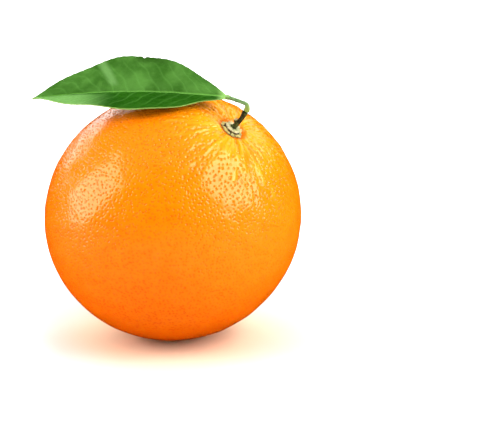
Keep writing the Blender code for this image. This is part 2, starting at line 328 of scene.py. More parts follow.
def pit_ways(random):
    """Directions of the oil glands: evenly spread with a jitter, thinner towards the stem."""
    polar = np.linspace(0, pi, 2001)
    mean_radius = sum(SEMI_AXES) / 3
    density = 1 - STEM_THINNING * fade(polar * mean_radius / STEM_PITS)
    filled = np.cumsum(density * np.sin(polar))
    filled /= filled[-1]
    order = (np.arange(PIT_COUNT) + 0.5) / PIT_COUNT
    angle = np.interp(order, filled, polar)
    turn = np.arange(PIT_COUNT) * (pi * (3 - sqrt(5)))
    ways = np.stack([np.sin(angle) * np.cos(turn), np.sin(angle) * np.sin(turn), np.cos(angle)], -1)
    spacing = sqrt(4 * pi / PIT_COUNT)
    ways += random.normal(0, PIT_JITTER * spacing, ways.shape)
    return ways / np.linalg.norm(ways, axis=1)[:, None]


def dimple(points):
    """How far each point is pressed in by the oil glands' pits, and how near it is to a pit's middle."""
    random = np.random.default_rng(7)
    ways = pit_ways(random)
    middles = fruit_surface(ways)
    tree = kdtree.KDTree(len(points))
    for i in random.permutation(len(points)):
        tree.insert(points[i], i)
    tree.balance()
    pressed = np.zeros(len(points))
    inside = np.zeros(len(points))
    near_stem = fade(np.arccos(ways[:, 2]) * sum(SEMI_AXES) / 3 / STEM_PITS)
    stretch = 1 + STEM_WIDENING * near_stem
    radii = random.uniform(*PIT_RADIUS, PIT_COUNT) * stretch
    depths = random.uniform(*PIT_DEPTH, PIT_COUNT) * (1 + STEM_DEEPENING * near_stem)
    down = np.cross(np.cross([0, 0, 1.0], ways), ways)
    down /= np.linalg.norm(down, axis=1)[:, None] + 1e-9
    for middle, way, radius, depth, longer in zip(middles, down, radii, depths, stretch):
        found = tree.find_range(middle, radius * longer)
        if not found:
            continue
        near = np.fromiter((item[1] for item in found), int, len(found))
        offset = points[near] - middle
        along = offset @ way
        square = (offset ** 2).sum(1) - along ** 2 * (1 - 1 / longer ** 2)
        bowl = np.clip(1 - square / radius ** 2, 0, 1) ** 1.5
        pressed[near] = np.maximum(pressed[near], depth * bowl)
        inside[near] = np.maximum(inside[near], bowl)
    return pressed, inside


def build_fruit():
    ways, faces, sheet = cube_sphere(FRUIT_GRID)
    plain = fruit_surface(ways)
    pressed, inside = dimple(plain)
    large, small = LUMP_LENGTHS
    lumps = ripple(plain, large, 1) + SMALL_LUMPS * ripple(plain, small, 2)
    height = LUMP_HEIGHT * lumps - pressed
    radius = np.hypot(plain[:, 0], plain[:, 1])
    under_calyx = (plain[:, 2] > 0) & (radius < CALYX_RADIUS)
    height = np.where(under_calyx, np.minimum(height, 0), height)
    points = (plain + outward(ways) * height[:, None]) @ np.array(FRUIT_AXES).T + np.array(FRUIT_CENTRE)
    points[:, 2] = np.maximum(points[:, 2], 0)
    stem_distance = np.where(plain[:, 2] > 0, radius, 1)
    angle = np.arctan2(plain[:, 1], plain[:, 0])
    crease = np.where(plain[:, 2] > 0, furrows(radius, angle) / (FURROW_DEPTH + STREAK_DEPTH), 0)
    attributes = {
        "pit": inside,
        "stem_distance": stem_distance,
        "latitude": ways[:, 2],
        "crease": crease,
    }
    return add_mesh("orange_peel", points.tolist(), faces.tolist(), sheet, attributes)


# ---- Calyx ----
# A five-lobed star lies on the peel, and a dark seam parts it from the disc that carries the twig.
# A pair below is a row of the skin: its share of the outline's radius, and its height above the peel
# or, on the disc, its depth below the disc's top.

CALYX_SIDES = 240
STAR_CRACKS = (0.2, 1.35, 2.75, 3.95, 5.2, 5.75)
DISC_CRACKS = (0.9, 2.2, 3.1, 4.35, 5.5)
STAR_CRACK_WIDTH = 0.11
DISC_CRACK_WIDTH = 0.14
STAR_CRACK_DEPTH = 0.00022
DISC_CRACK_DEPTH = 0.00014
STAR_UNDERSIDE = ((0.30, 0.00002), (0.70, 0.00002), (0.93, 0.00002))
STAR_EDGE = ((0.99, 0.00010), (1.0, 0.00024), (0.985, 0.00040), (0.95, 0.00050))
STAR_TOP = tuple(zip(np.linspace(0.92, 0.66, 10), np.linspace(0.00052, 0.00092, 10)))
SEAM = ((0.60, 0.00060), (0.56, 0.00052))
DISC_FOOT = (0.88, 0.00080)
DISC_EDGE = ((0.93, 0.00058), (0.985, 0.00042), (1.0, 0.00030), (0.985, 0.00019), (0.95, 0.00011))
DISC_TOP = tuple(zip(np.linspace(0.90, 0.42, 14), np.linspace(0.000033, 0.0000954, 14)))
DISC_SOCKET = ((0.36, 0.00030), (0.15, 0.00034))


def peel_height(x, y):
    """The peel's height at the stem end, over points given in the stem frame."""
    c, s = cos(-FRUIT_TURN), sin(-FRUIT_TURN)
    flat_x, flat_y = c * x - s * y, s * x + c * y
    left = 1 - (flat_x / SEMI_AXES.x) ** 2 - (flat_y / SEMI_AXES.y) ** 2
    sunk = stem_hollow(np.hypot(flat_x, flat_y), np.arctan2(flat_y, flat_x))
    return SEMI_AXES.z * np.sqrt(left) - sunk


def seat_height():
    return float(peel_height(np.array(0.0), np.array(0.0)))


def disc_top():
    return seat_height() + GAP + DISC_HEIGHT


def calyx_reach(angle):
    """The star's outline: five blunt, uneven lobes."""
    lobes = 0.055 * np.cos(5 * angle) + 0.035 * np.cos(3 * angle + 1.2)
    teeth = 0.025 * np.cos(11 * angle + 0.5) + 0.012 * np.cos(29 * angle)
    return CALYX_RADIUS * (0.91 + lobes + teeth)


def cracks(angle, places, width):
    """1 in narrow splits at the given angles, 0 elsewhere."""
    total = np.zeros_like(angle)
    for place in places:
        gap = np.abs((angle - place + pi) % tau - pi)
        total = np.maximum(total, fade(gap / width))
    return total


def build_calyx():
    """Star, seam and disc as one skin that runs from under the star over the disc to its middle."""
    angles = tau * np.arange(CALYX_SIDES) / CALYX_SIDES
    top = disc_top()
    reach = calyx_reach(angles)
    star_split = cracks(angles, STAR_CRACKS, STAR_CRACK_WIDTH)
    disc_split = cracks(angles, DISC_CRACKS, DISC_CRACK_WIDTH)
    # Rows carry a dark mark: the seam itself, and painted shade at the disc's foot, under its rim, in
    # its socket and on the star's inner edge
    rows, seams, tones = [], [], []

    def star(share, lift, seam_and_shade=0.0):
        """A row at a share of the star's outline, lifted off the peel."""
        radius = share * reach * (1 - 0.10 * star_split * (share > 0.8))
        x, y = radius * np.cos(angles), radius * np.sin(angles)
        lumps = 0.00010 * np.cos(7 * angles + 9 * share) + 0.00006 * np.cos(17 * angles + 5 * share)
        height = peel_height(x, y) + lift + lumps - STAR_CRACK_DEPTH * star_split
        rows.append(np.stack([x, y, height], -1))
        seams.append(np.maximum(seam_and_shade, 0.9 * star_split))
        tones.append(np.full(CALYX_SIDES, share))

    def disc(share, drop, seam_and_shade=0.0):
        """A row at a share of the disc's radius, below the disc's top."""
        radius = share * DISC_RADIUS
        wave = 1 + 0.035 * np.cos(3 * angles + 0.8) + 0.02 * np.cos(8 * angles + 2)
        notch = disc_split * rise(radius, 0.55 * DISC_RADIUS, DISC_RADIUS)
        out = radius * wave * (1 - 0.07 * notch)
        lumps = 0.00007 * np.cos(6 * angles + 3000 * radius)
        lumps = lumps + 0.00005 * np.cos(13 * angles - 5000 * radius)
        height = top - drop + lumps - DISC_CRACK_DEPTH * notch
        rows.append(np.stack([out * np.cos(angles), out * np.sin(angles), height], -1))
        seams.append(np.maximum(seam_and_shade, 0.7 * notch))
        tones.append(np.full(CALYX_SIDES, 0.5 * share))

    for share, lift in STAR_UNDERSIDE + STAR_EDGE:
        star(share, lift)
    for share, lift in STAR_TOP:
        star(share, lift, rise(-share, -0.80, -0.70))
    for share, lift in SEAM:
        star(share, lift, 1.0)
    disc(*DISC_FOOT, 1.0)
    for share, drop in DISC_EDGE:
        disc(share, drop, rise(drop, 0.0004, 0.0007))
    for share, drop in DISC_TOP:
        disc(share, drop)
    for share, drop in DISC_SOCKET:
        disc(share, drop, 1.0)
    attributes = {"seam": np.array(seams), "tone": np.array(tones)}
    return skin("calyx_star", to_world(np.array(rows)), attributes)


# ---- Twig and stalk: reaches are shares of their length ----

BARK_LENGTH = 2.2               # the twig's length in the ripples' space, where its radius is 1
RIDGE_HEIGHT = 0.055            # as shares of the radius
BUMP_HEIGHT = 0.030
TWIG_ROWS = 110
TWIG_SIDES = 56
TWIG_SINK = 0.0002              # how far the twig's foot stands in the disc's socket
FOOT_REACH = 0.25
NODE_REACH = 0.30
FLARE_WIDTH = 0.00022
FLARE_REACH = 0.09
TOP_ROUNDING = 0.027
STUB_SIDES = 32
PETIOLE_FINENESS = 5            # points along the stalk for each step of the solid's line
PETIOLE_SIDES = 48
HEEL_ROUNDING = 0.021
BLADE_GAP = 0.0001              # between the stalk's end and the blade's base
NECK_DEPTH = 0.00012            # the stalk is thinner here, just before its joint with the blade
NECK_PLACE = 0.90
NECK_REACH = 0.018
GROOVE_DEPTH = 0.16             # as shares of the stalk's radius
WING_WIDTH = 0.10


def spot(radius, angle, height):
    """A point at a distance and an angle from the stem axis."""
    return np.array([radius * cos(angle), radius * sin(angle), height])


def twig_end():
    return spot(TWIG_OFFSET, TWIG_HEADING, disc_top() + TWIG_LENGTH)


def twig_centres(shares):
    """Points on the twig's middle line, from the foot at 0 to the node at 1."""
    foot = np.array([0, 0, disc_top() - TWIG_SINK])
    bow = np.sin(pi * shares)[:, None] * spot(TWIG_BOW, TWIG_HEADING, 0)
    return foot + shares[:, None] * (twig_end() - foot) + bow


def bark_relief(shares, angles, seed):
    """Uneven lengthwise ridges and small bumps, as a share of the radius."""
    round_x, round_y = np.cos(angles)[None], np.sin(angles)[None]
    grid = np.stack(np.broadcast_arrays(round_x, round_y, shares[:, None] * BARK_LENGTH), -1)
    ridges = ripple(grid.reshape(-1, 3), 0.55, seed).reshape(grid.shape[:2])
    squeezed = grid.reshape(-1, 3) * [1, 1, BARK_LENGTH]
    bumps = ripple(squeezed, 0.24, seed + 1).reshape(grid.shape[:2])
    return RIDGE_HEIGHT * ridges + BUMP_HEIGHT * bumps


def rounded(share, least):
    """A rounded end's width as a share of the full one: 1 up to share 0, then down to sqrt(least)."""
    return np.sqrt(np.clip(1 - share.clip(0, 1) ** 2, least, 1))


def build_twig():
    shares = np.linspace(0, 1, TWIG_ROWS)
    angles = tau * np.arange(TWIG_SIDES) / TWIG_SIDES
    radii = TWIG_RADIUS + (FOOT_RADIUS - TWIG_RADIUS) * fade(shares / FOOT_REACH)
    radii = radii + (NODE_RADIUS - TWIG_RADIUS) * fade((1 - shares) / NODE_REACH)
    flare = FLARE_WIDTH * fade(shares / FLARE_REACH)
    radii = (radii + flare) * rounded((shares - 0.975) / TOP_ROUNDING, 0.16)
    relief = bark_relief(shares, angles, 11)
    rings = tube(twig_centres(shares), radii[:, None] * (1 + relief), angles)
    twig = skin("twig_bark", to_world(rings), {"relief": relief})
    join = twig.modifiers.new("side_shoot", "BOOLEAN")
    join.operation = "UNION"
    join.object = build_stub()
    return twig


def stub_way():
    lean = Matrix.Rotation(STUB_HEADING, 3, "Z") @ Matrix.Rotation(STUB_ANGLE, 3, "Y")
    return np.array(lean @ UP)


def stub_tip():
    """The middle of the pruned shoot's cut end, in the row frame."""
    start = twig_centres(np.array([STUB_PLACE]))[0]
    return to_world(start + stub_way() * STUB_LENGTH)


def build_stub():
    """The pruned side shoot, which a Boolean joins to the twig. It isn't shown itself.

    Its rings are made evenly spaced and then slid to their places, because the last two share one place.
    """
    shares = np.array([0, 0.2, 0.4, 0.55, 0.7, 0.82, 0.9, 0.955, 0.985, 1.0, 1.0])
    widths = np.array([1, 1, 1, 1.02, 1.05, 1.1, 1.12, 1.08, 0.98, 0.86, 0.45])
    angles = tau * np.arange(STUB_SIDES) / STUB_SIDES
    start = twig_centres(np.array([STUB_PLACE]))[0]
    even = np.linspace(0, 1, len(shares))
    centres = start + even[:, None] * stub_way() * STUB_LENGTH
    relief = bark_relief(shares, angles, 15)
    rings = tube(centres, STUB_RADIUS * widths[:, None] * (1 + 0.7 * relief), angles)
    rings += ((shares - even)[:, None] * stub_way() * STUB_LENGTH)[:, None]
    stub = skin("twig_stub", to_world(rings), {"relief": relief})
    stub.hide_render = True
    stub.hide_viewport = True
    return stub


def petiole_line():
    """Points along the stalk's middle in the stem frame. It starts upright on the twig's end."""
    out = spot(1, PETIOLE_HEADING, 0)
    up = np.array([0, 0, 1.0])
    slanted = PETIOLE_FINENESS * PETIOLE_STEPS
    shares = (np.arange(slanted) + 0.5) / slanted
    slopes = PETIOLE_RISE + (PETIOLE_FALL - PETIOLE_RISE) * shares
    slopes = slopes + (HEEL_SLOPE - PETIOLE_RISE) * fade(shares / HEEL_SHARE)
    ways = np.cos(slopes)[:, None] * out + np.sin(slopes)[:, None] * up
    ways = np.concatenate([np.tile(up, (PETIOLE_FINENESS, 1)), ways])
    start = twig_end() + up * GAP
    return np.concatenate([[start], start + np.cumsum(ways, 0) * PETIOLE_LENGTH / len(ways)])


def build_petiole():
    line = petiole_line()
    step = line[-1] - line[-2]
    reach = (BLADE_SETBACK - BLADE_GAP) / np.linalg.norm(step)
    line = np.concatenate([line, line[-1] + np.linspace(0.25, 1, 4)[:, None] * reach * step])
    shares = np.linspace(0, 1, len(line))
    angles = tau * np.arange(PETIOLE_SIDES) / PETIOLE_SIDES
    radii = PETIOLE_RADIUS + (HEEL_RADIUS - PETIOLE_RADIUS) * fade(shares / HEEL_SHARE)
    radii = radii + (PETIOLE_JOINT_RADIUS - PETIOLE_RADIUS) * fade((1 - shares) / JOINT_SHARE)
    radii = radii - NECK_DEPTH * fade((shares - NECK_PLACE) / NECK_REACH)
    radii = radii * rounded((0.02 - shares) / HEEL_ROUNDING, 0.2)
    groove = fade((angles[None] - pi) / 0.5) * rise(shares[:, None], 0.25, 0.45) * GROOVE_DEPTH
    wings = WING_WIDTH * np.abs(np.sin(angles[None])) ** 3 * rise(shares[:, None], 0.3, 0.6)
    relief = bark_relief(shares * 1.4, angles, 19) * 0.55
    wide = radii[:, None] * (1 + wings - groove + relief)
    rings = tube(line, wide, angles, side=spot(1, PETIOLE_HEADING, 0))
    along = np.broadcast_to(shares[:, None], rings.shape[:2])
    upper = np.broadcast_to(fade((angles - pi) / 1.2)[None], rings.shape[:2])
    return skin("petiole_stalk", to_world(rings), {"along": along, "upper": upper, "relief": relief})


# ---- Leaf: +X from the joint to the tip, +Z out of the upper face ----
# along runs from 0 at the base to 1 at the tip, across from -1 on the far edge to 1 on the near edge.

LEAF_ROWS = 220
LEAF_COLUMNS = 44
NEAR_WIDEST, FAR_WIDEST = 0.46, 0.47
NEAR_BLUNTNESS, FAR_BLUNTNESS = 0.98, 1.05
NEAR_BULGE = (0.10, 0.36, 0.20)     # how much fuller than the plain curve, where, and over what reach
NEAR_SLIMMING = (0.16, 0.12, 0.12)
TEETH = 27
TEETH_HEIGHT = 0.00007
NICK_DEPTH = 0.0005
NICK_PLACE = 0.445
NICK_REACH = 0.011
VEIN_PAIRS = 13
VEIN_WIDTH = 0.11               # as a share of their spacing
VEIN_SLANT = 0.10
VEIN_CURVE = 0.05
VEIN_WOBBLE = 0.006
EDGE_WAVE = 0.00035
RIB_GROOVE = 0.00022
RIB_GROOVE_REACH = 0.0011
RIB_REACH = 0.0010
RIB_TAPER = 0.7
RIB_STRIPE = 0.00065            # half the pale stripe's width at the base,
RIB_STRIPE_TAPER = 0.0004       # and what it loses by the tip
CUSHION_HEIGHT = 0.00006        # the upper face, between the side veins
GRAIN_HEIGHT = 0.00002
VEIN_DEPTH = 0.00007
UNDER_CUSHION_HEIGHT = 0.00004
UNDER_VEIN_HEIGHT = 0.00009


def half_width(along, side):
    """Half the blade's width at a share of its length; the two halves differ a little."""
    widest = np.where(side > 0, NEAR_WIDEST, FAR_WIDEST)
    low = np.where(side > 0, NEAR_BLUNTNESS, FAR_BLUNTNESS)
    high = low * (1 - widest) / widest
    along = np.clip(along, 0, 1)
    outline = (along / widest) ** low * ((1 - along) / (1 - widest)) ** high
    more, place, reach = NEAR_BULGE
    less, slim_place, slim_reach = NEAR_SLIMMING
    change = more * fade((along - place) / reach) - less * fade((along - slim_place) / slim_reach)
    outline = outline * (1 + np.where(side > 0, change, 0))
    end_radius = LEAF_BASE_RADIUS + (LEAF_TIP_RADIUS - LEAF_BASE_RADIUS) * along
    return end_radius + (LEAF_WIDTH / 2 - end_radius) * outline


def margin(along, side):
    """Small blunt teeth along the edge, and a nick in the far half."""
    wave = np.cos(tau * along * TEETH + np.where(side > 0, 0.0, 1.9) + 1.5 * np.sin(tau * along * 5))
    teeth = TEETH_HEIGHT * wave * np.sin(pi * along) ** 0.5
    nick = NICK_DEPTH * fade((along - NICK_PLACE) / NICK_REACH) * (side < 0)
    return teeth - nick


def veins(along, across):
    """1 on the side veins, which leave the midrib at a slant and curve towards the tip."""
    side = np.abs(across)
    course = along - VEIN_SLANT * side - VEIN_CURVE * side ** 2
    course = course + VEIN_WOBBLE * np.sin(9 * side + 20 * along)
    offset = np.where(across > 0, 0.0, 0.45)
    phase = (course * VEIN_PAIRS + offset + 0.5) % 1 - 0.5
    reach = rise(0.97 - side, 0, 0.25)
    return fade(phase / VEIN_WIDTH) * reach


def leaf_point(along, across):
    """Points on the upper face, before its veins: folded along the midrib, bent and wavy at the edge."""
    side = np.sign(across)
    width = half_width(along, side) + margin(along, side) * rise(np.abs(across), 0.6, 1)
    out = across * width
    hump = 4 * along * (1 - along)
    fold = LEAF_FOLD * (1 - 0.10 * np.abs(across))
    height = np.abs(out) * sin(LEAF_FOLD) + LEAF_ARCH * hump
    wave = EDGE_WAVE * np.sin(tau * along * 3.3 + np.where(side > 0, 0.4, 2.2)) * np.abs(across) ** 2
    groove = -RIB_GROOVE * fade(across * width / RIB_GROOVE_REACH) * rise(1 - along, 0, 0.15)
    height = height + (wave + groove) * rise(along, 0.02, 0.15)
    return np.stack([LEAF_LENGTH * along, out * np.cos(fold) - LEAF_BOW * hump, height], -1)


def leaf_thickness(along, across):
    width = half_width(along, np.sign(across))
    rib = MIDRIB_RADIUS * fade(across * width / RIB_REACH) * (1 - RIB_TAPER * along)
    return LEAF_THICKNESS + (LEAF_EDGE_THICKNESS - LEAF_THICKNESS) * np.abs(across) + rib


def leaf_to_world(points):
    heading = Matrix.Rotation(LEAF_HEADING, 3, "Z") @ Matrix.Rotation(-LEAF_PITCH, 3, "Y")
    turn = np.array(heading @ Matrix.Rotation(-LEAF_ROLL, 3, "X"))
    line = petiole_line()
    end = line[-1] + (line[-1] - line[-2]) / np.linalg.norm(line[-1] - line[-2]) * BLADE_SETBACK
    return points @ turn.T + to_world(end)


def build_leaf():
    alongs = np.linspace(0, 1, LEAF_ROWS)
    widest_angle = 0.9 * pi / 2         # the columns crowd towards the edges
    ease = np.sin(np.linspace(-1, 1, 2 * LEAF_COLUMNS + 1) * widest_angle) / sin(widest_angle)
    along, across = np.meshgrid(alongs, ease, indexing="ij")
    upper = leaf_point(along, across)
    lower = upper.copy()
    vein = veins(along, across)
    grain = ripple(upper.reshape(-1, 3), 0.0011, 31).reshape(along.shape)
    cushions = ripple(upper.reshape(-1, 3), 0.0046, 32).reshape(along.shape)
    inner = rise(1 - np.abs(across), 0.0, 0.12) * rise(along, 0.02, 0.1)
    upper[..., 2] += inner * (CUSHION_HEIGHT * cushions + GRAIN_HEIGHT * grain - VEIN_DEPTH * vein)
    lower[..., 2] -= leaf_thickness(along, across)
    lower[..., 2] += inner * (UNDER_CUSHION_HEIGHT * cushions - UNDER_VEIN_HEIGHT * vein)
    rings = np.concatenate([upper, lower[:, ::-1]], 1)

    def both(values, below=None):
        """Values on the upper face, and then the same or other values on the lower one."""
        below = values if below is None else below
        return np.concatenate([values, below[:, ::-1]], 1)

    width = half_width(along, np.sign(across))
    rib = fade(across * width / (RIB_STRIPE - RIB_STRIPE_TAPER * along))
    attributes = {
        "along": both(along),
        "across": both(across),
        "vein": both(vein),
        "midrib": both(rib),
        "under": both(np.zeros_like(along), np.ones_like(along)),
    }
    return skin("leaf_skin", leaf_to_world(rings), attributes)


# ---- Shader helpers ----


def new_material(name):
    made = bpy.data.materials.new(name)
    made.use_nodes = True
    return made, made.node_tree, made.node_tree.nodes["Principled BSDF"]


def node(tree, kind, inputs=None, **settings):
    """Adds a node with its settings. An input is given as a value, or as the output to link it to."""
    made = tree.nodes.new(kind)
    for key, value in settings.items():
        setattr(made, key, value)
    for key, value in (inputs or {}).items():
        if isinstance(value, bpy.types.NodeSocket):
            tree.links.new(value, made.inputs[key])
        else:
            made.inputs[key].default_value = value
    return made


def attribute(tree, name):
    return node(tree, "ShaderNodeAttribute", attribute_name=name).outputs["Fac"]


def object_coords(tree):
    return node(tree, "ShaderNodeTexCoord").outputs["Object"]


def noise(tree, size, detail=2.0, roughness=0.5):
    inputs = {"Vector": object_coords(tree), "Scale": 1 / size}
    inputs |= {"Detail": detail, "Roughness": roughness}
    return node(tree, "ShaderNodeTexNoise", inputs).outputs["Fac"]


def cells(tree, size):
    inputs = {"Vector": object_coords(tree), "Scale": 1 / size}
    return node(tree, "ShaderNodeTexVoronoi", inputs, feature="F1").outputs["Distance"]


def span(tree, value, low, high, start=0.0, end=1.0):
    """value's range low to high as start to end, held at both ends."""
    inputs = {"Value": value, "From Min": low, "From Max": high, "To Min": start, "To Max": end}
    return node(tree, "ShaderNodeMapRange", inputs, interpolation_type="SMOOTHSTEP").outputs["Result"]


def math(tree, operation, a, b):
    return node(tree, "ShaderNodeMath", {0: a, 1: b}, operation=operation).outputs[0]


def mix(tree, factor, a, b):
    """Colour a, with colour b laid over it by factor."""
    inputs = {0: factor}
    for key, colour in ((6, a), (7, b)):
        inputs[key] = colour if isinstance(colour, bpy.types.NodeSocket) else (*colour, 1)
    made = node(tree, "ShaderNodeMix", inputs, data_type="RGBA", blend_type="MIX")
    return made.outputs[2]


def tint(tree, base, value, where, most, colour):
    """Colour base, with colour laid over it as value runs through where, by most at the range's end."""
    return mix(tree, span(tree, value, *where, 0, most), base, colour)


def times(tree, a, b):
    return math(tree, "MULTIPLY", a, b)


def plus(tree, a, b):
    return math(tree, "ADD", a, b)


def bump(tree, shader, height, distance):
    """Relief of the given depth in metres."""
    made = node(tree, "ShaderNodeBump", {"Height": height, "Distance": distance, "Strength": 1.0})
    tree.links.new(made.outputs["Normal"], shader.inputs["Normal"])


def finish_shader(tree, shader, colour, roughness):
    tree.links.new(colour, shader.inputs["Base Color"])
    tree.links.new(roughness, shader.inputs["Roughness"])


# ---- Materials ----


def peel_material():
    made, tree, shader = new_material("orange_peel")
    pit = attribute(tree, "pit")
    stem = attribute(tree, "stem_distance")
    latitude = attribute(tree, "latitude")
    patches = noise(tree, 0.011, 3.0)
    mottle = noise(tree, 0.0032, 3.0, 0.6)
    upper = span(tree, plus(tree, latitude, times(tree, patches, 0.25)), -0.55, 1.15)
    # A redder underside and a yellower top, partly the peel's own colour and partly painted shade below
    # and painted light on top; lighter and redder flecks
    base = mix(tree, upper, (0.68, 0.084, 0.00005), (0.68, 0.152, 0.0002))
    base = tint(tree, base, mottle, (0.35, 0.72), 0.30, (0.74, 0.165, 0.0002))
    base = tint(tree, base, mottle, (0.55, 0.25), 0.22, (0.69, 0.078, 0.00005))
    # Pits darker and the ridges between them lighter, partly their own colour and partly painted shade
    # in the pits and painted light on the ridges; and deep-lying oil glands
    base = tint(tree, base, pit, (0.15, 0.95), 0.34, (0.52, 0.072, 0.00005))
    base = tint(tree, base, pit, (0.10, 0.0), 0.28, (0.75, 0.18, 0.0004))
    glands = cells(tree, 0.00075)
    base = tint(tree, base, glands, (0.32, 0.12), 0.14, (0.65, 0.07, 0.00005))
    # Round the stem: a golden patch, painted shade in the creases and painted highlights on the ridges,
    # and a line of painted shade round the calyx
    base = tint(tree, base, stem, (0.024, 0.006), 0.66, (0.72, 0.28, 0.002))
    crease = attribute(tree, "crease")
    base = tint(tree, base, crease, (0.10, 0.75), 0.45, (0.60, 0.11, 0.0003))
    base = tint(tree, base, crease, (-0.15, -0.80), 0.40, (0.75, 0.33, 0.025))
    base = tint(tree, base, stem, (CALYX_RADIUS + 0.0018, CALYX_RADIUS), 0.75, (0.50, 0.095, 0.004))
    roughness = plus(tree, span(tree, mottle, 0.3, 0.7, 0.15, 0.19), span(tree, pit, 0.2, 1, 0, 0.10))
    finish_shader(tree, shader, base, roughness)
    shader.inputs["Specular IOR Level"].default_value = 0.44
    shader.inputs["Specular Tint"].default_value = (1.0, 0.93, 0.56, 1)
    fine = plus(tree, noise(tree, 0.0006, 2.0), times(tree, noise(tree, 0.0014, 2.0), 1.6))
    bump(tree, shader, fine, 0.000018)
    return made


def calyx_material():
    made, tree, shader = new_material("calyx_wood")
    seam = attribute(tree, "seam")
    tone = attribute(tree, "tone")
    grain = noise(tree, 0.00045, 4.0, 0.65)
    patches = noise(tree, 0.0016, 2.0)
    # Pale wood on the disc, browner towards the star's edge
    base = mix(tree, patches, (0.52, 0.49, 0.32), (0.40, 0.35, 0.15))
    base = tint(tree, base, tone, (0.55, 0.80), 0.8, (0.36, 0.28, 0.055))
    # Green stains, dark and brown grain, and nearly black seams and cracks, with painted shade at the
    # disc's foot, under its rim, in its socket and on the star's inner edge
    green = noise(tree, 0.0026, 1.0)
    base = tint(tree, base, green, (0.50, 0.62), 0.6, (0.20, 0.23, 0.075))
    base = tint(tree, base, grain, (0.52, 0.75), 0.6, (0.16, 0.16, 0.055))
    base = tint(tree, base, grain, (0.48, 0.30), 0.45, (0.24, 0.13, 0.03))
    base = tint(tree, base, seam, (0.25, 0.95), 0.97, (0.035, 0.014, 0.003))
    finish_shader(tree, shader, base, span(tree, grain, 0.3, 0.7, 0.62, 0.82))
    bump(tree, shader, grain, 0.00010)
    return made


def bark_material():
    made, tree, shader = new_material("twig_bark")
    relief = attribute(tree, "relief")
    streaks = noise(tree, 0.0007, 4.0, 0.7)
    patches = noise(tree, 0.0022, 2.0)
    # Nearly black to olive patches, brown streaks, and painted shade in the hollows between the ridges
    base = mix(tree, span(tree, patches, 0.4, 0.62), (0.010, 0.012, 0.0025), (0.055, 0.075, 0.010))
    base = tint(tree, base, streaks, (0.5, 0.72), 0.6, (0.10, 0.075, 0.020))
    base = tint(tree, base, relief, (-0.01, -0.07), 0.7, (0.006, 0.005, 0.002))
    # The side shoot's cut end: pale wood round dark pith
    inputs = {0: object_coords(tree), 1: tuple(stub_tip())}
    gap = node(tree, "ShaderNodeVectorMath", inputs, operation="DISTANCE").outputs["Value"]
    base = tint(tree, base, gap, (0.00075, 0.00050), 0.92, (0.36, 0.27, 0.11))
    base = tint(tree, base, gap, (0.00026, 0.00014), 0.7, (0.10, 0.06, 0.02))
    finish_shader(tree, shader, base, span(tree, streaks, 0.3, 0.7, 0.50, 0.72))
    shader.inputs["Specular IOR Level"].default_value = 0.22
    bump(tree, shader, streaks, 0.00010)
    return made


def petiole_material():
    made, tree, shader = new_material("petiole_green")
    along = attribute(tree, "along")
    upper = attribute(tree, "upper")
    relief = attribute(tree, "relief")
    speck = noise(tree, 0.0006, 3.0, 0.6)
    # Speckled green, paler on top, painted shade in the hollows, yellow at the heel, light at the blade
    base = mix(tree, speck, (0.065, 0.145, 0.032), (0.11, 0.205, 0.060))
    base = tint(tree, base, upper, (0.3, 1.0), 0.6, (0.16, 0.28, 0.10))
    base = tint(tree, base, relief, (0.0, -0.06), 0.7, (0.030, 0.075, 0.014))
    base = tint(tree, base, along, (0.24, 0.06), 0.85, (0.20, 0.24, 0.030))
    base = tint(tree, base, along, (0.80, 0.95), 0.6, (0.20, 0.36, 0.09))
    finish_shader(tree, shader, base, span(tree, speck, 0.3, 0.7, 0.38, 0.55))
    shader.inputs["Specular IOR Level"].default_value = 0.25
    bump(tree, shader, speck, 0.00006)
    return made


